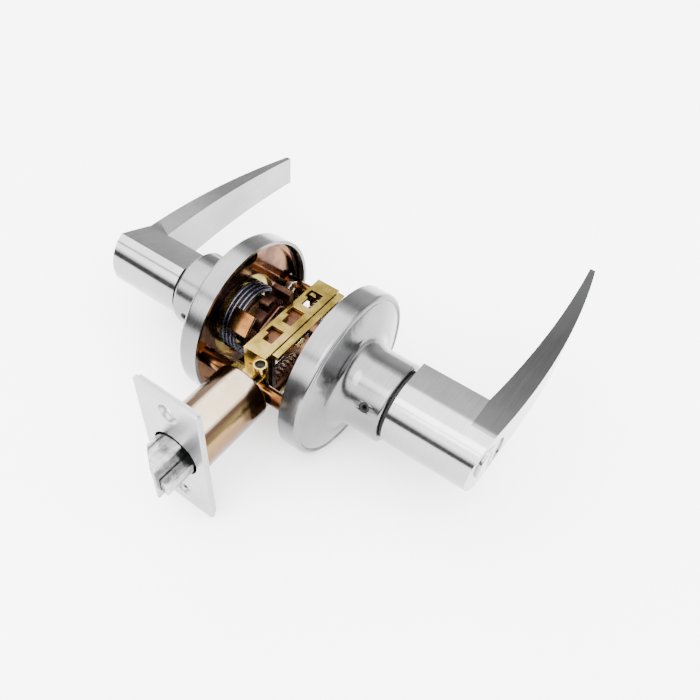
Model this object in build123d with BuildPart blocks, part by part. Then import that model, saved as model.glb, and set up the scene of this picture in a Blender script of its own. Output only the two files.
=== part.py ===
"""Cylindrical lever lockset for a hinged door: two levers, two roses, chassis and dead latch.

The origin is the lock centre, where the lever axis (Y) crosses the latch axis (X).
The latch points to -X, the lever blades to +X, +Y is the inside of the door, +Z is up.
Both levers are the same casting, so the inside one is the outside one turned half a turn about X.
"""

import os
from math import cos, radians, sin, sqrt

from build123d import *

# Door and latch, millimetres
backset = 60.325
grip = 36.4
faceplate_width = 25.4
faceplate_height = 57.15
faceplate_thickness = 1.6
faceplate_corner = 0.8
faceplate_hole_radius = 8.9
backplate_thickness = 1.0
backplate_margin = 0.5
screw_spacing = 41.275
screw_hole_radius = 2.6
screw_sink_radius = 3.7
latch_tube_radius = 10.7
latch_tube_wall = 0.9
latch_tube_end = 27.5
latch_throw = 12.2
bolt_radius = 8.2
bolt_guide_radius = 9.5
bolt_guide_length = 1.2
bolt_length = 25.0
bolt_short_side = 3.9
bolt_tip_land = 1.2
bolt_flat = 4.0
plunger_top = 1.6
plunger_low = 5.0
plunger_setback = 1.4
plunger_length = 13.0
plunger_gap = 0.15
plunger_spring_radius = 1.2
plunger_spring_wire = 0.45
plunger_spring_turns = 4
latch_spring_radius = 3.5
latch_spring_wire = 0.8
latch_spring_turns = 5
tail_width = 4.4
tail_thickness = 1.5
tail_height = 4.55
tail_lip = 2.0
tail_lip_length = 1.3

# Roses
rose_radius = 31.5
rose_rim = 8.0
rose_wall = 1.2
rose_bead = 1.5
rose_groove = 0.6
dish_radius = 28.6
dish_rise = 2.0
flare_radius = 6.0
hub_radius = 14.9
hub_wall = 1.1
hub_height = 27.4
hub_lip = 1.3
release_hole_radius = 1.9
release_hole_from_end = 6.2
release_hole_angle = {"outside": 152.0, "inside": 182.0}

# Mounting plates, bearing sleeves and posts
plate_radius = 29.5
plate_recess = 4.6
plate_thickness = 1.4
plate_bore = 16.5
plate_rim_width = 1.6
plate_rim_height = 1.6
plate_slot_radius = 24.2
plate_slot_width = 4.6
plate_slot_sweep = 30.0
plate_tab_thickness = 1.6
plate_tab_width = 7.0
plate_tab_length = 8.0
plate_tab_radius = 17.7
plate_tab_angle = -45.0
bearing_gap = 2.0
bearing_wall = 1.6
bearing_flange_overlap = 3.0
bearing_flange = 0.7
post_x = 24.0
post_radius = 2.9
post_flange_radius = 3.8
inside_post_end = 8.6
outside_post_end = 4.0
screw_radius = 1.9
screw_head_depth = 1.3
screw_tip = 15.0

# Levers, spindles and cams
neck_radius = 13.3
neck_gap = 1.4
neck_back = 10.2
lever_reach = 90.5
neck_length = 32.0
blade_root_thickness = 7.4
blade_inner_bow = 2.0
blade_tip_back = 6.7
blade_tip_setback = 4.8
blade_outer_crown = 2.4
facet_start = -5.3
facet_root = -5.6
blade_tip_low = 0.4
journal_radius = 12.0
journal_length = 13.0
lever_end_wall = 4.0
spindle_radius = 8.0
spindle_wall = 1.5
spindle_start = 9.0
spindle_grip = 9.0
cam_radius = 15.5
cam_ring_radius = 12.0
cam_arm_width = 6.0
cam_thickness = 4.0
catch_radius = 1.5
catch_depth = 2.6
return_spring_radius = 12.9
return_spring_wire = 1.5
return_spring_turns = 4
return_spring_leg = 9.4

# Chassis frame and retractor
frame_half_length = 21.0
frame_half_width = 4.7
frame_height = 13.1
frame_wall = 1.5
frame_window_width = 4.0
frame_windows = ((-14.5, 7.0), (-4.0, 8.0), (7.0, 8.0))
frame_step = 1.4
tail_window = 0.35
retractor_half_width = 3.6
retractor_bar = 1.5
hook_plate = 1.8
shoe_thickness = 2.2
shoe_reach = 17.0
shoe_inner = 5.1
shoe_outer = 8.0
shoe_gap = 1.3
retractor_spring_height = 8.0
retractor_spring_radius = 1.35
retractor_spring_wire = 0.5
retractor_spring_turns = 16

# Key cylinder and push button
cylinder_radius = 7.9
cylinder_length = 17.0
cylinder_proud = 1.3
plug_radius = 6.0
keyway_width = 1.5
keyway_height = 8.0
keyway_depth = 14.0
tailpiece_width = 4.0
tailpiece_thickness = 1.4
core_end = 6.4
button_radius = 4.6
button_stand = 5.6
button_dome = 1.2
button_flange_radius = 6.2
button_flange = 1.2
lock_bar_radius = 1.5

# Clearances
running = 0.06
fixed_fit = 0.04
clear = 0.3

SIDES = (("outside", -1), ("inside", 1))
rose_back = grip / 2
rose_face = rose_back + rose_rim
plate_back = rose_back + plate_recess
plate_face = plate_back + plate_thickness
hub_end = rose_back + hub_height
neck_start = hub_end + neck_gap
lever_end = neck_start + neck_length
blade_inner_root = lever_end - blade_root_thickness
blade_tip_inner = lever_end - blade_tip_back
blade_tip_outer = lever_end - blade_tip_setback
journal_start = neck_start - journal_length
hub_bore = journal_radius + running
lever_bore = spindle_radius + fixed_fit
bearing_bore = spindle_radius + running
spindle_length = neck_start + spindle_grip - spindle_start
bearing_start = spindle_start + cam_thickness + bearing_gap
release_y = hub_end - release_hole_from_end
bolt_tip = -backset - latch_throw
bolt_root = bolt_tip + bolt_length
tube_start = -backset + faceplate_thickness
tube_inside = -latch_tube_end - latch_tube_wall
shoe_x = cam_arm_width / 2 + shoe_gap
hook_x = -(tailpiece_width / 2 + latch_throw + hook_plate + clear)
frame_inside = frame_height - frame_wall
bar_top = frame_inside - clear
bar_low = bar_top - retractor_bar
tail_end = hook_x + hook_plate + clear + tail_lip_length

os.makedirs("parts", exist_ok=True)


def across(side, distance):
    """Plane square to the lever axis that faces out of the door; its Y is the lever's own up."""
    return Plane(origin=(0, side * distance, 0), x_dir=(1, 0, 0), z_dir=(0, side, 0))


def plan(side, height):
    """Plane seen from below the lever, whose Y runs out of the door; height is the lever's own."""
    return Plane(origin=(0, 0, -side * height), x_dir=(1, 0, 0), z_dir=(0, 0, side))


def along(x):
    """Plane square to the latch axis that faces the hinge side, with Y across and Z up."""
    return Plane(origin=(x, 0, 0), x_dir=(0, 1, 0), z_dir=(1, 0, 0))


def finish(builder, label):
    """Name a finished piece and write its STEP file."""
    builder.part.label = label
    export_step(builder.part, f"parts/{label}.step")


def coil(plane, radius, wire, turns, length):
    """Wire coil standing on a plane, added to the part being built; returns its centre line."""
    pitch = (length - wire) / turns
    helix = Helix(pitch=pitch, height=length - wire, radius=radius, mode=Mode.PRIVATE)
    centre_line = plane.offset(wire / 2) * helix
    with BuildSketch(Plane(origin=centre_line @ 0, z_dir=centre_line % 0)) as wire_section:
        Circle(wire / 2)
    sweep(sections=wire_section.sketch, path=centre_line, is_frenet=True)
    return centre_line


# Roses: pressed cups with a beaded rim, a dished face and a flared hub that carries the lever
for side_name, side in SIDES:
    dish_end = hub_radius + flare_radius
    flare_low = rose_face + dish_rise
    flare_end = flare_low + flare_radius
    inner_flare = hub_radius - hub_wall
    groove_radius = (rose_radius - rose_bead + dish_radius) / 2
    with BuildPart() as rose:
        with BuildSketch(Plane.XY):
            with BuildLine():
                Line((rose_radius, rose_back), (rose_radius, rose_face - rose_bead))
                RadiusArc((rose_radius, rose_face - rose_bead), (rose_radius - rose_bead, rose_face), -rose_bead)
                Polyline(
                    (rose_radius - rose_bead, rose_face),
                    (groove_radius, rose_face - rose_groove),
                    (dish_radius, rose_face),
                    (dish_end, flare_low),
                )
                RadiusArc((dish_end, flare_low), (hub_radius, flare_end), flare_radius)
                Line((hub_radius, flare_end), (hub_radius, hub_end - hub_lip))
                RadiusArc((hub_radius, hub_end - hub_lip), (hub_radius - hub_lip, hub_end), -hub_lip)
                Polyline(
                    (hub_radius - hub_lip, hub_end),
                    (hub_bore, hub_end),
                    (hub_bore, flare_end + 1),
                    (inner_flare, flare_end),
                )
                RadiusArc((inner_flare, flare_end), (dish_end, flare_low - hub_wall), -flare_radius - hub_wall)
                Polyline(
                    (dish_end, flare_low - hub_wall),
                    (rose_radius - rose_wall, rose_face - rose_wall - rose_groove),
                    (rose_radius - rose_wall, rose_back),
                    (rose_radius, rose_back),
                )
            make_face()
        revolve(axis=Axis.Y)
        if side < 0:
            mirror(about=Plane.XZ, mode=Mode.REPLACE)
        angle = radians(release_hole_angle[side_name])
        hole_axis = (cos(angle), 0, sin(angle))
        with BuildSketch(Plane(origin=(0, side * release_y, 0), x_dir=(0, 1, 0), z_dir=hole_axis)):
            Circle(release_hole_radius)
        extrude(amount=2 * hub_radius, mode=Mode.SUBTRACT)
    finish(rose, f"{side_name}_rose")

# Mounting plates: slotted pressings inside the roses, with a raised rim and two spring tabs
for side_name, side in SIDES:
    with BuildPart() as plate:
        with BuildSketch(across(side, plate_back)):
            Circle(plate_radius)
            Circle(plate_bore, mode=Mode.SUBTRACT)
            for middle in (90, 270):
                slot_start = middle - plate_slot_sweep / 2
                with BuildLine():
                    slot_arc = CenterArc((0, 0), plate_slot_radius, slot_start, plate_slot_sweep)
                SlotArc(slot_arc, plate_slot_width, mode=Mode.SUBTRACT)
        extrude(amount=plate_thickness)
        with BuildSketch(across(side, plate_back)):
            Circle(plate_radius)
            Circle(plate_radius - plate_rim_width, mode=Mode.SUBTRACT)
        extrude(amount=-plate_rim_height)
        with BuildSketch(across(side, plate_back)):
            with PolarLocations(plate_tab_radius, 2, start_angle=plate_tab_angle):
                Rectangle(plate_tab_thickness, plate_tab_width)
        extrude(amount=-plate_tab_length)
        with BuildSketch(across(side, plate_back)):
            with Locations((post_x, 0), (-post_x, 0)):
                Circle(screw_radius + fixed_fit)
        extrude(amount=plate_thickness, mode=Mode.SUBTRACT)
        with BuildSketch(across(side, plate_face - screw_head_depth)):
            with Locations((post_x, 0), (-post_x, 0)):
                Circle(screw_radius + fixed_fit)
        extrude(amount=screw_head_depth, taper=-45, mode=Mode.SUBTRACT)
    finish(plate, f"{side_name}_mounting_plate")

# Bearing sleeves: flanged tubes staked to the plates, in which the spindles turn
for side_name, side in SIDES:
    with BuildPart() as bearing:
        with BuildSketch(across(side, bearing_start)):
            Circle(bearing_bore + bearing_wall)
            Circle(bearing_bore, mode=Mode.SUBTRACT)
        extrude(amount=plate_face - bearing_start)
        with BuildSketch(across(side, plate_face)):
            Circle(plate_bore + bearing_flange_overlap)
            Circle(bearing_bore, mode=Mode.SUBTRACT)
        extrude(amount=bearing_flange)
    finish(bearing, f"{side_name}_bearing_sleeve")

# Return springs: wire coils around the bearing sleeves, one leg against the plate's tab
for side_name, side in SIDES:
    with BuildPart() as return_spring:
        spring_plane = across(side, bearing_start + clear)
        spring_length = plate_face - bearing_start - 2 * clear
        spring_size = (return_spring_radius, return_spring_wire, return_spring_turns, spring_length)
        centre_line = coil(spring_plane, *spring_size)
        with BuildSketch(Plane(origin=centre_line @ 0, z_dir=-(centre_line % 0))):
            Circle(return_spring_wire / 2)
        extrude(amount=return_spring_leg)
    finish(return_spring, f"{side_name}_return_spring")

# Posts: stand-offs with hexagon flanges, which the two mounting screws draw together
for side_name, side, post_end in (("outside", -1, outside_post_end), ("inside", 1, inside_post_end)):
    with BuildPart() as posts:
        with BuildSketch(across(side, post_end)):
            with Locations((post_x, 0), (-post_x, 0)):
                Circle(post_radius)
        extrude(amount=plate_back - post_end)
        with BuildSketch(across(side, plate_back)):
            with Locations((post_x, 0), (-post_x, 0)):
                RegularPolygon(post_flange_radius, 6)
        extrude(amount=-plate_rim_height)
        with BuildSketch(across(side, post_end)):
            with Locations((post_x, 0), (-post_x, 0)):
                Circle(screw_radius + fixed_fit)
        extrude(amount=plate_back - post_end, mode=Mode.SUBTRACT)
    finish(posts, f"{side_name}_posts")

# Mounting screws: countersunk in the inside plate and threaded into the outside posts
with BuildPart() as screws:
    with BuildSketch(across(1, -screw_tip)):
        with Locations((post_x, 0), (-post_x, 0)):
            Circle(screw_radius)
    extrude(amount=plate_face + screw_tip)
    with BuildSketch(across(1, plate_face - screw_head_depth)):
        with Locations((post_x, 0), (-post_x, 0)):
            Circle(screw_radius)
    extrude(amount=screw_head_depth, taper=-45)
    with BuildSketch(across(1, plate_face)):
        with Locations((post_x, 0), (-post_x, 0)):
            Rectangle(screw_radius / 2, 2 * screw_radius)
            Rectangle(2 * screw_radius, screw_radius / 2)
    extrude(amount=-screw_head_depth, mode=Mode.SUBTRACT)
finish(screws, "mounting_screws")

# Levers: a hollow neck with a squared back and a blade that bows outwards and thins to its tip
facet_low = -sqrt(neck_radius**2 - facet_start**2)
facet_slope = (facet_root - facet_low) / (neck_back - facet_start)
blade_middle = lever_reach / 2
for side_name, side in SIDES:
    with BuildPart() as lever:
        with BuildSketch(across(side, neck_start)):
            Circle(neck_radius)
            Rectangle(neck_radius, neck_radius, align=(Align.MIN, Align.MIN))
            with Locations((neck_back, 0)):
                back_cut = (Align.MIN, Align.CENTER)
                Rectangle(neck_radius, 3 * neck_radius, align=back_cut, mode=Mode.SUBTRACT)
        extrude(amount=lever_end + 2 * blade_outer_crown - neck_start)
        with BuildSketch(plan(side, neck_radius)):
            with BuildLine():
                inner_bow = (blade_middle, (blade_inner_root + blade_tip_inner) / 2 + blade_inner_bow)
                ThreePointArc((neck_back, blade_inner_root), inner_bow, (lever_reach, blade_tip_inner))
                Polyline(
                    (lever_reach, blade_tip_inner),
                    (lever_reach, lever_end + 2 * blade_outer_crown),
                    (0, lever_end + 2 * blade_outer_crown),
                    (0, blade_inner_root),
                    (neck_back, blade_inner_root),
                )
            make_face()
        extrude(amount=2 * neck_radius)
        # The outer face is one bow from the neck's end to the tip
        with BuildSketch(plan(side, neck_radius + 1)):
            with BuildLine():
                outer_root = (-neck_radius - 1, lever_end - blade_outer_crown / 4)
                outer_bow = (blade_middle - neck_radius / 2, lever_end + blade_outer_crown)
                outer_tip = (lever_reach + 1, blade_tip_outer)
                ThreePointArc(outer_root, outer_bow, outer_tip)
                Polyline(
                    outer_tip,
                    (lever_reach + 1, lever_end + 4 * blade_outer_crown),
                    (-neck_radius - 1, lever_end + 4 * blade_outer_crown),
                    outer_root,
                )
            make_face()
        extrude(amount=2 * neck_radius + 2, mode=Mode.SUBTRACT)
        # The underside slopes up from the neck and on along the blade
        with BuildSketch(across(side, neck_start)):
            Polygon(
                (facet_start - neck_radius, facet_low - facet_slope * neck_radius),
                (neck_back, facet_root),
                (lever_reach + 1, blade_tip_low),
                (lever_reach + 1, -2 * neck_radius),
                (facet_start - neck_radius, -2 * neck_radius),
                align=None,
            )
        extrude(amount=lever_end, mode=Mode.SUBTRACT)
        with BuildSketch(across(side, journal_start)):
            Circle(journal_radius)
        extrude(amount=journal_length)
        with BuildSketch(across(side, journal_start)):
            Circle(lever_bore)
        extrude(amount=lever_end - lever_end_wall - journal_start, mode=Mode.SUBTRACT)
        with BuildSketch(across(side, journal_start)):
            Circle(cylinder_radius + fixed_fit if side < 0 else button_radius + running)
        extrude(amount=lever_end, mode=Mode.SUBTRACT)
        angle = radians(release_hole_angle[side_name])
        catch_axis = (cos(angle), 0, sin(angle))
        with BuildSketch(Plane(origin=(0, side * release_y, 0), x_dir=(0, 1, 0), z_dir=catch_axis)):
            Circle(catch_radius + fixed_fit)
        extrude(amount=hub_radius, mode=Mode.SUBTRACT)
    finish(lever, f"{side_name}_lever")

# Spindles: drawn tubes pressed into the levers, cross-drilled for the catch pins
for side_name, side in SIDES:
    with BuildPart() as spindle:
        with BuildSketch(across(side, spindle_start)):
            Circle(spindle_radius)
            Circle(spindle_radius - spindle_wall, mode=Mode.SUBTRACT)
        extrude(amount=spindle_length)
        angle = radians(release_hole_angle[side_name])
        catch_axis = (cos(angle), 0, sin(angle))
        with BuildSketch(Plane(origin=(0, side * release_y, 0), x_dir=(0, 1, 0), z_dir=catch_axis)):
            Circle(catch_radius + fixed_fit)
        extrude(amount=hub_radius, mode=Mode.SUBTRACT)
    finish(spindle, f"{side_name}_spindle")

# Lever catches: sprung pins that hold each lever on its spindle, reached through the hub's hole
for side_name, side in SIDES:
    with BuildPart() as catch:
        angle = radians(release_hole_angle[side_name])
        catch_axis = Vector(cos(angle), 0, sin(angle))
        catch_root = Vector(0, side * release_y, 0) + catch_axis * (spindle_radius - catch_depth)
        with BuildSketch(Plane(origin=catch_root, x_dir=(0, 1, 0), z_dir=catch_axis)):
            Circle(catch_radius)
        extrude(amount=journal_radius - spindle_radius + catch_depth - clear)
    finish(catch, f"{side_name}_lever_catch")

# Rollback cams: rings on the inner ends of the spindles, with an arm above and one below
for side_name, side in SIDES:
    with BuildPart() as cam:
        with BuildSketch(across(side, spindle_start)):
            Circle(cam_ring_radius)
            Rectangle(cam_arm_width, 2 * cam_radius)
            Circle(cam_radius, mode=Mode.INTERSECT)
            Circle(lever_bore, mode=Mode.SUBTRACT)
        extrude(amount=cam_thickness)
        fillet(cam.edges().filter_by(Axis.Y).group_by(Axis.Z)[0], 1.2)
        fillet(cam.edges().filter_by(Axis.Y).group_by(Axis.Z)[-1], 1.2)
    finish(cam, f"{side_name}_rollback_cam")

# Chassis frame: a slotted box of bent strip around the retractor, with bushes for the screws
with BuildPart() as frame:
    with BuildSketch(Plane.XZ.offset(-frame_half_width)):
        Rectangle(2 * frame_half_length, 2 * frame_height)
        Rectangle(2 * (frame_half_length - frame_wall), 2 * frame_inside, mode=Mode.SUBTRACT)
    extrude(amount=2 * frame_half_width)
    with BuildSketch(Plane.XY.offset(-frame_height)):
        for window_start, window_length in frame_windows:
            with Locations((window_start, 0)):
                window_align = (Align.MIN, Align.CENTER)
                Rectangle(window_length, frame_window_width, align=window_align)
            with Locations((window_start + window_length / 2, frame_window_width / 2)):
                Rectangle(window_length / 2, 2 * frame_step, align=window_align)
    extrude(amount=2 * frame_height, mode=Mode.SUBTRACT)
    with BuildSketch(along(-frame_half_length)):
        with Locations((0, tail_height + tail_thickness / 2), (0, -tail_height - tail_thickness / 2)):
            Rectangle(tail_width + 2 * tail_window, tail_thickness + 2 * tail_window)
    extrude(amount=frame_wall, mode=Mode.SUBTRACT)
    with BuildSketch(across(1, -outside_post_end)):
        with Locations((post_x, 0), (-post_x, 0)):
            Circle(post_radius)
        Rectangle(2 * post_x, 2 * post_radius)
        Rectangle(2 * frame_half_length, 2 * post_radius, mode=Mode.SUBTRACT)
    extrude(amount=inside_post_end + outside_post_end)
    with BuildSketch(across(1, -outside_post_end)):
        with Locations((post_x, 0), (-post_x, 0)):
            Circle(screw_radius + fixed_fit)
    extrude(amount=inside_post_end + outside_post_end, mode=Mode.SUBTRACT)
finish(frame, "chassis_frame")

# Retractor: a slide of two bars and a hook plate, with shoes that the inside cam's arms push
with BuildPart() as retractor:
    with BuildSketch(along(hook_x)):
        Rectangle(2 * retractor_half_width, 2 * bar_top)
        with Locations((0, tail_height + tail_thickness / 2), (0, -tail_height - tail_thickness / 2)):
            Rectangle(tail_width + 2 * tail_window, tail_thickness + 2 * tail_window, mode=Mode.SUBTRACT)
    extrude(amount=hook_plate)
    with BuildSketch(along(hook_x)):
        Rectangle(2 * retractor_half_width, 2 * bar_top)
        Rectangle(2 * retractor_half_width, 2 * bar_low, mode=Mode.SUBTRACT)
    extrude(amount=shoe_x + shoe_thickness - hook_x)
    with BuildSketch(along(shoe_x)):
        for up in (-1, 1):
            shoe_align = (Align.MIN, Align.MIN if up > 0 else Align.MAX)
            with Locations((retractor_half_width / 2, up * bar_low)):
                Rectangle(shoe_outer - retractor_half_width / 2, retractor_bar, align=shoe_align)
            with Locations((shoe_inner, up * bar_low)):
                Rectangle(shoe_outer - shoe_inner, shoe_reach - bar_low, align=shoe_align)
            with Locations((shoe_inner, up * (cam_ring_radius + 2 * clear))):
                shoe_height = shoe_reach - cam_ring_radius - 2 * clear
                Rectangle(spindle_start + cam_thickness - shoe_inner, shoe_height, align=shoe_align)
    extrude(amount=shoe_thickness)
finish(retractor, "retractor")

# Retractor springs: two coils between the hook plate and the frame's end wall
with BuildPart() as retractor_springs:
    spring_start = hook_x + hook_plate
    spring_length = frame_half_length - frame_wall - spring_start
    for up in (-1, 1):
        spring_plane = Plane(origin=(spring_start, 0, up * retractor_spring_height), z_dir=(1, 0, 0))
        coil(spring_plane, retractor_spring_radius, retractor_spring_wire, retractor_spring_turns, spring_length)
finish(retractor_springs, "retractor_springs")

# Faceplate: the screwed plate in the door's edge, with the bolt's round hole
with BuildPart() as faceplate:
    with BuildSketch(along(-backset)):
        RectangleRounded(faceplate_width, faceplate_height, faceplate_corner)
        Circle(faceplate_hole_radius, mode=Mode.SUBTRACT)
    extrude(amount=faceplate_thickness)
    with BuildSketch(along(-backset)):
        with Locations((0, screw_spacing / 2), (0, -screw_spacing / 2)):
            Circle(screw_hole_radius)
    extrude(amount=faceplate_thickness, mode=Mode.SUBTRACT)
    with BuildSketch(along(-backset)):
        with Locations((0, screw_spacing / 2), (0, -screw_spacing / 2)):
            Circle(screw_sink_radius)
    extrude(amount=screw_sink_radius - screw_hole_radius, taper=45, mode=Mode.SUBTRACT)
finish(faceplate, "faceplate")

# Backplate: the thinner plate behind the faceplate, staked to the latch tube
with BuildPart() as backplate:
    with BuildSketch(along(tube_start)):
        RectangleRounded(
            faceplate_width - 2 * backplate_margin,
            faceplate_height - 2 * backplate_margin,
            faceplate_corner,
        )
        Circle(latch_tube_radius + fixed_fit, mode=Mode.SUBTRACT)
        with Locations((0, screw_spacing / 2), (0, -screw_spacing / 2)):
            Circle(screw_sink_radius, mode=Mode.SUBTRACT)
    extrude(amount=backplate_thickness)
finish(backplate, "backplate")

# Latch tube: a drawn tube with an inner end wall that lets the two tail strips through
with BuildPart() as latch_tube:
    with BuildSketch(along(tube_start)):
        Circle(latch_tube_radius)
        Circle(latch_tube_radius - latch_tube_wall, mode=Mode.SUBTRACT)
    extrude(amount=-latch_tube_end - tube_start)
    with BuildSketch(along(tube_inside)):
        Circle(latch_tube_radius)
        with Locations((0, tail_height + tail_thickness / 2), (0, -tail_height - tail_thickness / 2)):
            Rectangle(tail_width + 2 * tail_window, tail_thickness + 2 * tail_window, mode=Mode.SUBTRACT)
    extrude(amount=latch_tube_wall)
    fillet(latch_tube.edges().filter_by(GeomType.CIRCLE).sort_by(Axis.X)[-1], latch_tube_wall)
finish(latch_tube, "latch_tube")

# Latch bolt: a round bolt bevelled towards the stop side, with a flat for the plunger
with BuildPart() as bolt:
    with BuildSketch(along(bolt_tip)):
        Circle(bolt_radius)
        with Locations((-bolt_flat, 0)):
            flat_align = (Align.MAX, Align.CENTER)
            Rectangle(bolt_radius, 2 * bolt_radius, align=flat_align, mode=Mode.SUBTRACT)
    extrude(amount=bolt_length)
    with BuildSketch(Plane.XY.offset(-bolt_radius)):
        Polygon(
            (bolt_tip - 1, bolt_tip_land - bolt_flat),
            (bolt_tip, bolt_tip_land - bolt_flat),
            (-backset - bolt_short_side, bolt_radius),
            (-backset - bolt_short_side, bolt_radius + 1),
            (bolt_tip - 1, bolt_radius + 1),
            align=None,
        )
    extrude(amount=2 * bolt_radius, mode=Mode.SUBTRACT)
    with BuildSketch(along(bolt_root - bolt_guide_length)):
        Circle(bolt_guide_radius)
    extrude(amount=bolt_guide_length)
finish(bolt, "latch_bolt")

# Dead-latch plunger: the bar beside the bolt that the strike holds in
with BuildPart() as plunger:
    with BuildSketch(along(bolt_tip + plunger_setback)):
        with Locations((-bolt_flat - plunger_gap, plunger_top)):
            Rectangle(bolt_radius, plunger_top + plunger_low, align=(Align.MAX, Align.MAX))
        Circle(bolt_radius, mode=Mode.INTERSECT)
    extrude(amount=plunger_length)
finish(plunger, "deadlatch_plunger")

# Plunger spring: a small coil between the plunger and the bolt's guide disc
with BuildPart() as plunger_spring:
    plunger_end = bolt_tip + plunger_setback + plunger_length
    plunger_spring_length = bolt_root - bolt_guide_length - plunger_end
    plunger_middle = (plunger_top - plunger_low) / 2
    plunger_y = -(bolt_flat + bolt_radius) / 2
    spring_plane = Plane(origin=(plunger_end, plunger_y, plunger_middle), z_dir=(1, 0, 0))
    coil(
        spring_plane,
        plunger_spring_radius,
        plunger_spring_wire,
        plunger_spring_turns,
        plunger_spring_length,
    )
finish(plunger_spring, "plunger_spring")

# Latch tail: two hooked strips on a cross plate, which draw the bolt back with the retractor
with BuildPart() as tail:
    with BuildSketch(along(bolt_root)):
        Rectangle(tail_width, 2 * (tail_height + tail_thickness))
    extrude(amount=tail_thickness)
    with BuildSketch(along(bolt_root)):
        Rectangle(tail_width, 2 * (tail_height + tail_thickness))
        Rectangle(tail_width, 2 * tail_height, mode=Mode.SUBTRACT)
    extrude(amount=tail_end - bolt_root)
    with BuildSketch(along(tail_end - tail_lip_length)):
        Rectangle(tail_width, 2 * (tail_height + tail_thickness))
        Rectangle(tail_width, 2 * (tail_height - tail_lip), mode=Mode.SUBTRACT)
    extrude(amount=tail_lip_length)
finish(tail, "latch_tail")

# Latch spring: the coil inside the tube that throws the bolt
with BuildPart() as latch_spring:
    latch_spring_start = bolt_root + tail_thickness
    latch_spring_length = tube_inside - latch_spring_start
    spring_plane = Plane(origin=(latch_spring_start, 0, 0), z_dir=(1, 0, 0))
    coil(spring_plane, latch_spring_radius, latch_spring_wire, latch_spring_turns, latch_spring_length)
finish(latch_spring, "latch_spring")

# Key cylinder: the housing in the outside lever's end
cylinder_face = lever_end + cylinder_proud
with BuildPart() as key_cylinder:
    with BuildSketch(across(-1, cylinder_face - cylinder_length)):
        Circle(cylinder_radius)
        Circle(plug_radius + running, mode=Mode.SUBTRACT)
    extrude(amount=cylinder_length)
finish(key_cylinder, "key_cylinder")

# Key plug: turns in the cylinder, slotted for the key
with BuildPart() as plug:
    with BuildSketch(across(-1, cylinder_face - cylinder_length)):
        Circle(plug_radius)
    extrude(amount=cylinder_length)
    with BuildSketch(across(-1, cylinder_face)):
        Rectangle(keyway_width, keyway_height)
    extrude(amount=-keyway_depth, mode=Mode.SUBTRACT)
finish(plug, "key_plug")

# Tailpiece: the flat bar on the plug that reaches the chassis
with BuildPart() as tailpiece:
    with BuildSketch(across(-1, core_end)):
        Rectangle(tailpiece_width, tailpiece_thickness)
    extrude(amount=cylinder_face - cylinder_length - core_end)
finish(tailpiece, "tailpiece")

# Push button: a domed button with a retaining flange, in the inside lever's end
button_base = lever_end - lever_end_wall - clear - button_flange
with BuildPart() as button:
    with BuildSketch(across(1, button_base)):
        Circle(button_radius)
    extrude(amount=lever_end + button_stand - button_base)
    fillet(button.edges().sort_by(Axis.Y)[-1], button_dome)
    with BuildSketch(across(1, button_base)):
        Circle(button_flange_radius)
    extrude(amount=button_flange)
finish(button, "push_button")

# Lock bar: the rod behind the button that blocks the outside cam when pushed in
with BuildPart() as lock_bar:
    with BuildSketch(across(1, core_end)):
        Circle(lock_bar_radius)
    extrude(amount=button_base - core_end)
finish(lock_bar, "lock_bar")
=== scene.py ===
"""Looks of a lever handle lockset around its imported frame."""

from math import pi, radians

import bmesh
import bpy
from mathutils import Matrix, Vector


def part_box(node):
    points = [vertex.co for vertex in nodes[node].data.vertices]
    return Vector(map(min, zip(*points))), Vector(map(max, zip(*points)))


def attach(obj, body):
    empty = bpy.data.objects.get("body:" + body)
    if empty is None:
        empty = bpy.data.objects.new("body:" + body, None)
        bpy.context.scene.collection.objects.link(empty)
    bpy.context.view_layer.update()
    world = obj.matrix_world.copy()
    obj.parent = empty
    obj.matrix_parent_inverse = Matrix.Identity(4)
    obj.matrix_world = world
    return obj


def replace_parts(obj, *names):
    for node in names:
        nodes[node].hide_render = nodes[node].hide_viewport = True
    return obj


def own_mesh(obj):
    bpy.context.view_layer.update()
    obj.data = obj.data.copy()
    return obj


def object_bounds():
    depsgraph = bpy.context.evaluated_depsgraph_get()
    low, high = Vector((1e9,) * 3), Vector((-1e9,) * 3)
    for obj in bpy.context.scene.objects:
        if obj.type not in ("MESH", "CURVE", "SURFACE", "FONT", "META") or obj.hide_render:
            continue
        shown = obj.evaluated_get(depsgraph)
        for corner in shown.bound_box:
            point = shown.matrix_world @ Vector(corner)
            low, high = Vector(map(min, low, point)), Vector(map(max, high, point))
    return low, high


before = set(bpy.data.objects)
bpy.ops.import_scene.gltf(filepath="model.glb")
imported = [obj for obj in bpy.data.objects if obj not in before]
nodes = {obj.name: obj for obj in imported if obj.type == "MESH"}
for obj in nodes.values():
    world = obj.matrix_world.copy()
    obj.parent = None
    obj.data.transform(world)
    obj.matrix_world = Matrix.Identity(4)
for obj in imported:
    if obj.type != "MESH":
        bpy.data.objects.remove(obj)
cad_low, cad_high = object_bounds()

# The view looks down on the lock from the outside of the door and the latch's side.
# Its turn and place come from the lock's known sizes.
view = bpy.data.cameras.new("view")
view.sensor_width = 36.0
view.lens = 36.303
view.shift_x = 0.0361
view.shift_y = 0.0267
view.clip_start = 0.01
camera = bpy.data.objects.new("view", view)
camera_turn = Matrix(
    (
        (0.59303, 0.6006, -0.53628),
        (-0.80409, 0.47641, -0.35563),
        (0.0419, 0.64212, 0.76546),
    )
)
camera_place = Vector((-0.13597, -0.10464, 0.18995))
camera.matrix_world = Matrix.Translation(camera_place) @ camera_turn.to_4x4()
bpy.context.scene.collection.objects.link(camera)
bpy.context.scene.camera = camera


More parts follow.
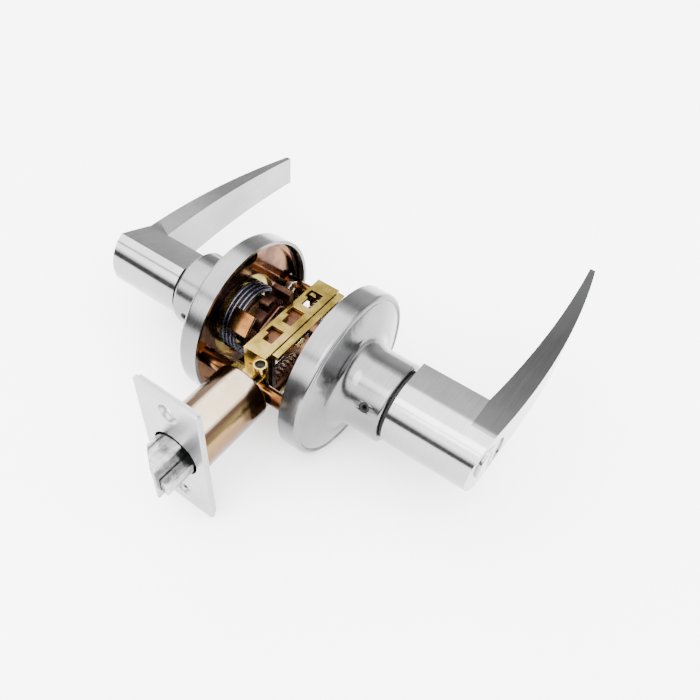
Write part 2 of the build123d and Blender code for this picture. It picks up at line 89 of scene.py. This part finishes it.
# The studio is a white room whose walls fall off to a dark band above table height.
# One class of node sums serves the room, the table and every finish of the lock.
class Signal:
    """One output of a shader's nodes; sums and products of signals add Math nodes."""

    def __init__(self, tree, socket=None):
        self.tree = tree
        self.socket = socket

    def node(self, kind, settings, sockets, output=0):
        made = self.tree.nodes.new(kind)
        stops = settings.get("stops")
        for name, value in settings.items():
            if name != "stops":
                setattr(made, name, value)
        if stops:
            marks = made.color_ramp.elements
            marks[0].position = stops[0][0]
            marks[-1].position = stops[-1][0]
            for place, _ in stops[1:-1]:
                marks.new(place)
            for mark, (_, colour) in zip(marks, stops):
                mark.color = (*colour, 1)
        for key, value in sockets.items():
            if isinstance(value, Signal):
                self.tree.links.new(value.socket, made.inputs[key])
            else:
                made.inputs[key].default_value = value
        return Signal(self.tree, made.outputs[output] if made.outputs else None)

    def math(self, operation, first, second):
        return self.node("ShaderNodeMath", {"operation": operation}, {0: first, 1: second})

    def __add__(self, other):
        return self.math("ADD", self, other)

    def __rsub__(self, other):
        return self.math("SUBTRACT", other, self)

    def __mul__(self, other):
        return self.math("MULTIPLY", self, other)

    def __gt__(self, other):
        return self.math("GREATER_THAN", self, other)

    def axis(self, name):
        """One coordinate of a place or direction."""
        return self.node("ShaderNodeSeparateXYZ", {}, {"Vector": self}, name)

    def turned(self, across):
        """The angle in radians whose tangent is this signal over across."""
        return self.node("ShaderNodeMath", {"operation": "ARCTAN2"}, {0: self, 1: across})

    def ramp(self, *stops):
        return self.node("ShaderNodeValToRGB", {"stops": stops}, {"Fac": self})

    def mixed(self, first, second):
        """Two colours mixed by this signal."""
        settings = {"data_type": "RGBA", "blend_type": "MIX"}
        return self.node("ShaderNodeMix", settings, {0: self, 6: first, 7: second}, 2)


def grey(level):
    return (level, level, level)


def product(first, second):
    """Two colours multiplied."""
    settings = {"data_type": "RGBA", "blend_type": "MULTIPLY"}
    return first.node("ShaderNodeMix", settings, {0: 1.0, 6: first, 7: second}, 2)


room = bpy.data.worlds.new("room")
bpy.context.scene.world = room
room.use_nodes = True
room.node_tree.nodes.clear()
air = Signal(room.node_tree)
direction = air.node("ShaderNodeTexCoord", {}, {}, "Generated")
ahead = direction.axis("X")
upward = direction.axis("Z")

# Seen from the latch's side the walls have the dark band; past the lock they stay pale.
rise = upward * 0.5 + 0.5
dark_walls = rise.ramp(
    (0.0, grey(0.30)),
    (0.47, grey(0.25)),
    (0.485, grey(0.014)),
    (0.62, grey(0.014)),
    (0.665, grey(0.5)),
    (0.71, grey(1.0)),
    (1.0, grey(1.0)),
)
pale_walls = rise.ramp(
    (0.0, grey(0.30)),
    (0.47, grey(0.55)),
    (0.70, grey(1.0)),
    (1.0, grey(1.0)),
)
past = ahead * 0.5 + 0.5
past_lock = past.ramp(
    (0.0, grey(0.0)),
    (0.66, grey(0.0)),
    (0.76, grey(1.0)),
    (1.0, grey(1.0)),
)
walls = past_lock.mixed(dark_walls, pale_walls)

# A grey flag beyond the blades darkens their tops; a narrow one overhead draws a thin line.
flank = past.ramp(
    (0.0, grey(1.0)),
    (0.71, grey(1.0)),
    (0.755, grey(0.30)),
    (0.802, grey(0.25)),
    (0.822, grey(0.13)),
    (0.85, grey(0.10)),
    (0.93, grey(0.20)),
    (1.0, grey(0.30)),
)
lean = (0 - ahead).turned(upward)
slit = (lean * 0.5).ramp(
    (0.0, grey(1.0)),
    (0.315, grey(1.0)),
    (0.335, grey(0.14)),
    (0.368, grey(0.14)),
    (0.385, grey(1.0)),
    (1.0, grey(1.0)),
)
light = product(product(walls, flank), slit)
glow = air.node("ShaderNodeBackground", {}, {"Color": light, "Strength": 10.0})
air.node("ShaderNodeOutputWorld", {}, {"Surface": glow})

key_lamp = bpy.data.lights.new("key", "AREA")
key_lamp.shape = "RECTANGLE"
key_lamp.size = 0.9
key_lamp.size_y = 0.6
key_lamp.energy = 18.0
key = bpy.data.objects.new("key", key_lamp)
key_place = Vector((-0.55, -0.15, 0.95))
key_turn = key_place.to_track_quat("Z", "Y").to_matrix().to_4x4()
key.matrix_world = Matrix.Translation(key_place) @ key_turn
bpy.context.scene.collection.objects.link(key)


# Every finish is one principled surface; a finish is given its colour, roughness and bump signals.
def finish(name, build):
    """A named material whose surface sockets come from build(coordinates signal)."""
    material = bpy.data.materials.new(name)
    material.use_nodes = True
    material.node_tree.nodes.clear()
    start = Signal(material.node_tree)
    place = start.node("ShaderNodeTexCoord", {}, {}, "Object")
    surface = start.node("ShaderNodeBsdfPrincipled", {}, build(place))
    start.node("ShaderNodeOutputMaterial", {}, {"Surface": surface})
    return material


def stretched(place, scales):
    """The place signal scaled along each axis."""
    return place.node("ShaderNodeVectorMath", {"operation": "MULTIPLY"}, {0: place, 1: scales})


def noise(place, scale, detail=3.0, roughness=0.55):
    return place.node(
        "ShaderNodeTexNoise",
        {},
        {"Vector": place, "Scale": scale, "Detail": detail, "Roughness": roughness},
    )


def bumped(height, strength, distance):
    return height.node(
        "ShaderNodeBump", {}, {"Strength": strength, "Distance": distance, "Height": height}
    )


def paper(place):
    cloud = noise(place, 3.0)
    return {
        "Base Color": cloud.ramp((0.3, grey(0.93)), (0.7, grey(0.95))),
        "Roughness": 0.9,
        "Specular IOR Level": 0.1,
    }


def clean(mesh_builder, name, material):
    """A mesh object made from a bmesh, at the origin, with one material."""
    mesh = bpy.data.meshes.new(name)
    mesh_builder.to_mesh(mesh)
    mesh_builder.free()
    mesh.materials.append(material)
    piece = bpy.data.objects.new(name, mesh)
    bpy.context.scene.collection.objects.link(piece)
    return piece


# The lock lies on a broad white table, a hair above its top.
table_reach = 40.0
table_gap = 0.0005
table_mesh = bmesh.new()
bmesh.ops.create_grid(table_mesh, x_segments=1, y_segments=1, size=table_reach)
bmesh.ops.translate(table_mesh, verts=table_mesh.verts, vec=(0, 0, cad_low[2] - table_gap))
table = clean(table_mesh, "table", finish("white_paper", paper))


merge_distance = 2e-6
rounding_angle = radians(28)
crease_angle = radians(35)


def rounded(shape, width, segments, miter):
    """Bevel a shape's sharp edges and shade it smooth up to the creases that stay."""
    corners = [
        edge for edge in shape.edges if edge.is_manifold and edge.calc_face_angle() > rounding_angle
    ]
    bmesh.ops.bevel(
        shape,
        geom=corners,
        offset=width,
        offset_type="OFFSET",
        affect="EDGES",
        segments=segments,
        profile=0.5,
        clamp_overlap=True,
        material=-1,
        miter_outer=miter,
    )
    for face in shape.faces:
        face.smooth = True
    for edge in shape.edges:
        if edge.is_manifold and edge.calc_face_angle() > crease_angle:
            edge.smooth = False


def fixed(shape, name, body, material):
    """A finished shape as a piece that rides a body, with flat faces kept flat."""
    piece = clean(shape, name, material)
    weighted = piece.modifiers.new("weighted", "WEIGHTED_NORMAL")
    weighted.keep_sharp = True
    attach(piece, body)
    return piece


def eased(node, body, material, width, segments=2):
    """A copy of a machined or cast CAD piece with its sharp edges rounded, as tumbling does."""
    shape = bmesh.new()
    shape.from_mesh(nodes[node].data)
    bmesh.ops.remove_doubles(shape, verts=shape.verts, dist=merge_distance)
    bmesh.ops.dissolve_limit(
        shape, angle_limit=radians(0.25), verts=shape.verts, edges=shape.edges, delimit=set()
    )
    rounded(shape, width, segments, "ARC")
    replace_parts(fixed(shape, node + "_finished", body, material), node)


def dress(material, *names):
    """Give carried-over CAD pieces their finish."""
    for name in names:
        slots = nodes[name].data.materials
        slots.clear()
        slots.append(material)


# Roses are spun from thin steel, plated with satin chrome and brushed while they turn,
# so their fine lines run round the lever axis.
def spun_chrome(place):
    flat = stretched(place, (1, 0, 1))
    radius = place.node("ShaderNodeVectorMath", {"operation": "LENGTH"}, {0: flat}, "Value")
    depth = place.axis("Y")
    lines_per_metre = 2600
    rings = place.node(
        "ShaderNodeCombineXYZ",
        {},
        {"X": radius * lines_per_metre, "Y": depth * lines_per_metre, "Z": 0.0},
    )
    drift = stretched(place, (55, 0, 55))
    line_place = place.node("ShaderNodeVectorMath", {"operation": "ADD"}, {0: rings, 1: drift})
    lines = noise(line_place, 1.0, 4.0, 0.7)
    cloud = noise(place, 60.0, 2.0)
    tone = lines * 0.35 + cloud * 0.65
    return {
        "Base Color": tone.ramp((0.3, (0.10, 0.10, 0.102)), (0.7, (0.17, 0.17, 0.172))),
        "Metallic": 1.0,
        "Roughness": lines * 0.14 + 0.12,
        "Normal": bumped(lines, 0.10, 0.00006),
    }


rose_chrome = finish("spun_satin_chrome", spun_chrome)
for side in ("outside", "inside"):
    eased(side + "_rose", "lock_body", rose_chrome, 0.00022)


# Levers are zinc castings, ground and brushed along the blade and round the neck,
# then plated with satin chrome. The flat along the blade's top is painted at half brightness
# as painted shade, and the inside lever is the same casting turned over, so its painted shade
# lies on its lower flat.
blade_start = 0.0104
blade_root = 0.0716
casting_top = 0.0131


def brushed_chrome(place):
    along = place.axis("X")
    out = place.axis("Y")
    up = place.axis("Z")
    blade = along > blade_start
    inside = out > 0.0
    cast_up = up * (1 - inside * 2)
    reach = place.node("ShaderNodeMath", {"operation": "ABSOLUTE"}, {0: out})
    # Painted shade: the blade's top flat (the lower flat on the inside lever) gets half the colour.
    painted_shade_flat = (reach > blade_root) * (cast_up > casting_top)
    height = up * (blade * 2240 + 60)
    grain = place.node(
        "ShaderNodeCombineXYZ",
        {},
        {"X": along * 50, "Y": out * 2300, "Z": height},
    )
    lines = noise(grain, 1.0, 4.0, 0.7)
    cloud = noise(place, 45.0, 2.0)
    tone = lines * 0.4 + cloud * 0.6
    return {
        "Base Color": product(
            tone.ramp((0.3, (0.20, 0.20, 0.203)), (0.7, (0.30, 0.30, 0.303))),
            painted_shade_flat.ramp((0.0, grey(1.0)), (1.0, grey(0.50))),
        ),
        "Metallic": 1.0,
        "Roughness": lines * 0.10 + 0.085,
        "Normal": bumped(lines, 0.08, 0.00005),
    }


lever_chrome = finish("brushed_satin_chrome", brushed_chrome)
for side in ("outside", "inside"):
    eased(side + "_lever", side + "_lever_body", lever_chrome, 0.0007, 3)


# The key cylinder, its plug and the push button are turned brass, nickel-plated and polished.
def polished_nickel(place):
    marks = noise(stretched(place, (900, 200, 900)), 1.0, 2.0)
    return {
        "Base Color": marks.ramp((0.35, (0.24, 0.235, 0.23)), (0.65, (0.32, 0.315, 0.31))),
        "Metallic": 1.0,
        "Roughness": marks * 0.10 + 0.12,
    }


nickel = finish("polished_nickel", polished_nickel)
eased("key_cylinder", "outside_lever_body", nickel, 0.0004, 3)
eased("key_plug", "key_plug_body", nickel, 0.0002)
dress(nickel, "push_button")


# Mounting plates and posts are pressed steel in yellow chromate, which dries copper and brown
# with pink and green patches where it is thin.
def chromate(dark, middle, bright, blush, low, high):
    """A chromate film's look from four colours and the least and most roughness."""

    def build(place):
        patches = noise(place, 95.0, 2.0, 0.5)
        blots = noise(place, 310.0, 3.0, 0.6)
        speckle = noise(place, 2600.0, 2.0)
        tone = patches * 0.62 + blots * 0.30 + speckle * 0.08
        coat = tone.ramp((0.34, dark), (0.46, middle), (0.56, bright), (0.66, blush))
        return {
            "Base Color": coat,
            "Metallic": 1.0,
            "Roughness": blots * (high - low) + low,
            "Normal": bumped(speckle, 0.06, 0.00004),
        }

    return build


plate_zinc = finish(
    "copper_chromate",
    chromate(
        (0.018, 0.007, 0.003),
        (0.075, 0.027, 0.009),
        (0.15, 0.068, 0.020),
        (0.16, 0.065, 0.045),
        low=0.10,
        high=0.22,
    ),
)
dress(plate_zinc, "outside_mounting_plate", "inside_mounting_plate")
dress(plate_zinc, "outside_posts", "inside_posts")

# The chassis frame, sleeves and latch tail carry a thicker, olive-gold coat of the same chromate.
gold_zinc = finish(
    "gold_chromate",
    chromate(
        (0.13, 0.085, 0.018),
        (0.24, 0.17, 0.035),
        (0.34, 0.25, 0.07),
        (0.40, 0.22, 0.13),
        low=0.14,
        high=0.28,
    ),
)
dress(gold_zinc, "outside_bearing_sleeve", "inside_bearing_sleeve", "latch_tail")
eased("chassis_frame", "lock_body", gold_zinc, 0.00025)

# The retractor, cams and spindles are hardened steel in a dark brown chromate.
bronze_zinc = finish(
    "brown_chromate",
    chromate(
        (0.020, 0.010, 0.008),
        (0.060, 0.028, 0.018),
        (0.12, 0.055, 0.030),
        (0.17, 0.085, 0.075),
        low=0.16,
        high=0.32,
    ),
)
dress(bronze_zinc, "outside_spindle", "inside_spindle", "retractor")
dress(bronze_zinc, "outside_rollback_cam", "inside_rollback_cam")

# The latch tube is drawn thin, and its thin chromate is pale pink to straw.
# Bands round the tube's axis are painted light: a white painted highlight near its top between dark
# painted reflections, and browner painted shade towards its sides and underside.
pale_film = chromate(
    (0.34, 0.28, 0.17),
    (0.36, 0.28, 0.20),
    (0.40, 0.33, 0.26),
    (0.40, 0.29, 0.24),
    low=0.12,
    high=0.22,
)


def film_with_painted_light(place):
    film = pale_film(place)
    around = (0 - place.axis("Y")).turned(place.axis("Z"))
    # Painted light: highlight and dark reflection bands painted round the tube by angle.
    painted_light_bands = (around * (0.5 / pi) + 0.5).ramp(
        (0.0, (0.25, 0.20, 0.12)),
        (0.36, (0.36, 0.26, 0.15)),
        (0.43, (0.22, 0.15, 0.09)),
        (0.457, (0.07, 0.05, 0.035)),
        (0.487, (0.92, 0.90, 0.88)),
        (0.594, (1.0, 1.0, 1.0)),
        (0.616, (0.06, 0.045, 0.035)),
        (0.632, (0.08, 0.055, 0.04)),
        (0.655, (0.44, 0.38, 0.20)),
        (0.72, (0.38, 0.26, 0.17)),
        (0.80, (0.16, 0.11, 0.06)),
        (1.0, (0.25, 0.20, 0.12)),
    )
    film["Base Color"] = product(film["Base Color"], painted_light_bands)
    return film


tube_zinc = finish("pale_chromate", film_with_painted_light)
dress(tube_zinc, "latch_tube")


# Return springs are blackened spring steel; the small springs, pins and screws are bright wire.
def wire(dark, bright):
    """A drawn wire's look between two colours."""

    def build(place):
        drawn = noise(place, 1500.0, 3.0)
        return {
            "Base Color": drawn.ramp((0.3, dark), (0.7, bright)),
            "Metallic": 1.0,
            "Roughness": drawn * 0.14 + 0.20,
        }

    return build


black_wire = finish("blackened_steel", wire((0.02, 0.02, 0.03), (0.07, 0.07, 0.10)))
bright_wire = finish("bright_wire", wire((0.15, 0.12, 0.09), (0.30, 0.25, 0.19)))
dress(black_wire, "outside_return_spring", "inside_return_spring")
dress(bright_wire, "mounting_screws", "tailpiece", "lock_bar")


# The faceplate and backplate are blanked steel sheet, satin nickel-plated; the bolt and the
# plunger are zinc castings with the same plating, rubbed brighter by use.
def satin_nickel(place):
    grain = noise(stretched(place, (300, 300, 2600)), 1.0, 3.0, 0.65)
    cloud = noise(place, 120.0, 2.0)
    tone = grain * 0.4 + cloud * 0.6
    return {
        "Base Color": tone.ramp((0.3, (0.23, 0.23, 0.233)), (0.7, (0.32, 0.32, 0.323))),
        "Metallic": 1.0,
        "Roughness": grain * 0.12 + 0.24,
        "Normal": bumped(grain, 0.06, 0.00004),
    }


def cast_nickel(place):
    grain = noise(stretched(place, (250, 1400, 1400)), 1.0, 3.0, 0.6)
    dents = noise(place, 700.0, 2.0)
    tone = grain * 0.5 + dents * 0.5
    return {
        "Base Color": tone.ramp((0.3, (0.10, 0.10, 0.102)), (0.7, (0.34, 0.34, 0.342))),
        "Metallic": 1.0,
        "Roughness": dents * 0.12 + 0.14,
        "Normal": bumped(dents, 0.12, 0.00006),
    }


sheet_nickel = finish("satin_nickel_sheet", satin_nickel)
bolt_nickel = finish("cast_nickel", cast_nickel)
eased("faceplate", "lock_body", sheet_nickel, 0.00018)
dress(sheet_nickel, "backplate")
eased("latch_bolt", "bolt_body", bolt_nickel, 0.0006, 3)
eased("deadlatch_plunger", "plunger_body", bolt_nickel, 0.0003)


# Small pressings and fasteners that the CAD frame leaves out are formed here
# from stamped rings and cut strip.
def formed(shape, name, body, material, rounding):
    """Round a shape's sharp edges and fix it to a body."""
    bmesh.ops.remove_doubles(shape, verts=shape.verts, dist=1e-6)
    bmesh.ops.recalc_face_normals(shape, faces=shape.faces)
    rounded(shape, rounding, 2, "SHARP")
    fixed(shape, name, body, material)


def washer(inner, outer, depth, sides=48, bore_sides=None):
    """A flat ring on XY that rises by depth; its bore may have another number of sides."""
    shape = bmesh.new()

    def loop(radius, segments):
        return bmesh.ops.create_circle(
            shape, cap_ends=False, radius=radius, segments=segments
        )["verts"]

    rim = loop(outer, sides)
    if bore_sides:
        rim_edges = {edge for vert in rim for edge in vert.link_edges}
        bore_edges = {edge for vert in loop(inner, bore_sides) for edge in vert.link_edges}
        edges = list(rim_edges | bore_edges)
        made = bmesh.ops.triangle_fill(shape, edges=edges, use_beauty=True)
        faces = [item for item in made["geom"] if isinstance(item, bmesh.types.BMFace)]
        faces = [face for face in faces if face.calc_center_median().length > inner * 0.9]
    else:
        loop(inner, sides)
        faces = bmesh.ops.bridge_loops(shape, edges=shape.edges[:])["faces"]
    grown = bmesh.ops.extrude_face_region(shape, geom=faces)["geom"]
    lifted = [item for item in grown if isinstance(item, bmesh.types.BMVert)]
    bmesh.ops.translate(shape, verts=lifted, vec=(0, 0, depth))
    return shape


def block(low, high):
    """A box between two corners."""
    shape = bmesh.new()
    bmesh.ops.create_cube(shape, size=1.0)
    size = Vector(high) - Vector(low)
    bmesh.ops.scale(shape, verts=shape.verts, vec=size)
    bmesh.ops.translate(shape, verts=shape.verts, vec=Vector(low) + size / 2)
    return shape


along_lever = Matrix.Rotation(radians(-90), 4, "X")


# The catches are moulded in black nylon. Black rings at the floor of the release holes and black
# washers in the running gap between hub and lever are painted shade that makes those bores and that
# gap dark.
def nylon(place):
    dust = noise(place, 800.0)
    return {
        "Base Color": dust.ramp((0.3, grey(0.006)), (0.7, grey(0.016))),
        "Roughness": dust * 0.2 + 0.45,
        "Specular IOR Level": 0.08,
    }


black_nylon_and_shade = finish("black_nylon_and_shade", nylon)
dress(black_nylon_and_shade, "outside_lever_catch", "inside_lever_catch")


def hub_rim(side):
    """Where a rose's hub ends along the lever axis."""
    low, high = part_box(side + "_rose")
    return high[1] if side == "inside" else low[1]


hole_from_rim = 0.0062
hole_floor = 0.01245
for side, inward, degrees in (("outside", 1, 152), ("inside", -1, 182)):
    # Painted shade: a black ring at the floor of each release hole darkens its bore.
    bore_shade = washer(0.0009, 0.00186, 0.0023, 32)
    bmesh.ops.translate(bore_shade, verts=bore_shade.verts, vec=(0, 0, hole_floor))
    bore_shade_turn = Matrix.Rotation(radians(90 - degrees), 4, "Y")
    bore_shade_place = (0, hub_rim(side) + inward * hole_from_rim, 0)
    bore_shade.transform(Matrix.Translation(bore_shade_place) @ bore_shade_turn)
    formed(bore_shade, side + "_hole_shade_liner", "lock_body", black_nylon_and_shade, 0.0001)
# Painted shade: a black washer fills the running gap between hub and lever so it reads dark.
for side, seat in (("outside", -0.0013), ("inside", 0.0001)):
    ring = washer(0.01203, 0.01262, 0.0012)
    ring.transform(Matrix.Translation((0, hub_rim(side) + seat, 0)) @ along_lever)
    formed(ring, side + "_gap_shade_washer", side + "_lever_body", black_nylon_and_shade, 0.0001)

# A faceted collar is staked on the inside cam's ring and keeps the spindle in it.
cam_low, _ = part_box("inside_rollback_cam")
collar = washer(0.0066, 0.0117, 0.0013, 6, 48)
bmesh.ops.rotate(collar, verts=collar.verts, matrix=Matrix.Rotation(radians(12), 3, "Z"))
collar.transform(Matrix.Translation((0, cam_low[1] - 0.00132, 0)) @ along_lever)
bmesh.ops.reverse_faces(collar, faces=collar.faces)
formed(collar, "inside_cam_collar", "inside_lever_body", bronze_zinc, 0.0004)

# The chassis carries a second rail of bent strip, and a lug at its latch end, drilled for
# assembly. A brown tray closes it under its windows.
_, frame_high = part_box("chassis_frame")
frame_end, _, frame_top = frame_high
rail = block((-0.0178, -0.0076, frame_top - 0.0022), (0.0203, -0.0050, frame_top - 0.0002))
formed(rail, "frame_rail", "lock_body", gold_zinc, 0.0003)
lug_place = (-0.0234, -0.0046, frame_top - 0.0032)
lug = washer(0.0017, 0.0025, 0.0030, 40)
bmesh.ops.translate(lug, verts=lug.verts, vec=lug_place)
formed(lug, "latch_end_lug", "lock_body", gold_zinc, 0.0002)
# Painted shade: a black disc in the lug's drilled hole makes the hole dark.
lug_bore_shade = washer(0.0002, 0.00168, 0.0016, 40)
bmesh.ops.translate(lug_bore_shade, verts=lug_bore_shade.verts, vec=lug_place)
formed(lug_bore_shade, "lug_bore_shade", "lock_body", black_nylon_and_shade, 0.0001)
tray = block((0.0018, -0.0048, 0.0024), (frame_end - 0.0012, 0.0048, 0.0032))
formed(tray, "frame_tray", "lock_body", bronze_zinc, 0.0002)


def closing_coil(node, body):
    """A smooth-shaded copy of a spring that rides a body in place of the CAD piece."""
    coil = bmesh.new()
    coil.from_mesh(nodes[node].data)
    bmesh.ops.remove_doubles(coil, verts=coil.verts, dist=1e-6)
    for face in coil.faces:
        face.smooth = True
    piece = clean(coil, node + "_coil", bright_wire)
    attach(piece, body)
    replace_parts(piece, node)
    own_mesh(piece)


closing_coil("retractor_springs", "lock_body")
closing_coil("latch_spring", "lock_body")
closing_coil("plunger_spring", "bolt_body")

# The inside mounting plate has a stop tab bent up from its steel and a hexagon nut on its back.
plate_low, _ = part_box("inside_mounting_plate")
plate_back = plate_low[1] + 0.0016
tab = block((-0.0040, -0.0085, -0.0008), (0.0040, 0.0, 0.0008))
tab_place = Matrix.Translation((-0.0134, plate_back, 0.0134))
tab.transform(tab_place @ Matrix.Rotation(radians(-45), 4, "Y"))
formed(tab, "stop_tab", "lock_body", plate_zinc, 0.0003)
nut = washer(0.0016, 0.0031, 0.0022, 6)
nut.transform(Matrix.Translation((0.0178, plate_back - 0.0023, 0.0052)) @ along_lever)
bmesh.ops.reverse_faces(nut, faces=nut.faces)
formed(nut, "plate_nut", "lock_body", bright_wire, 0.0003)
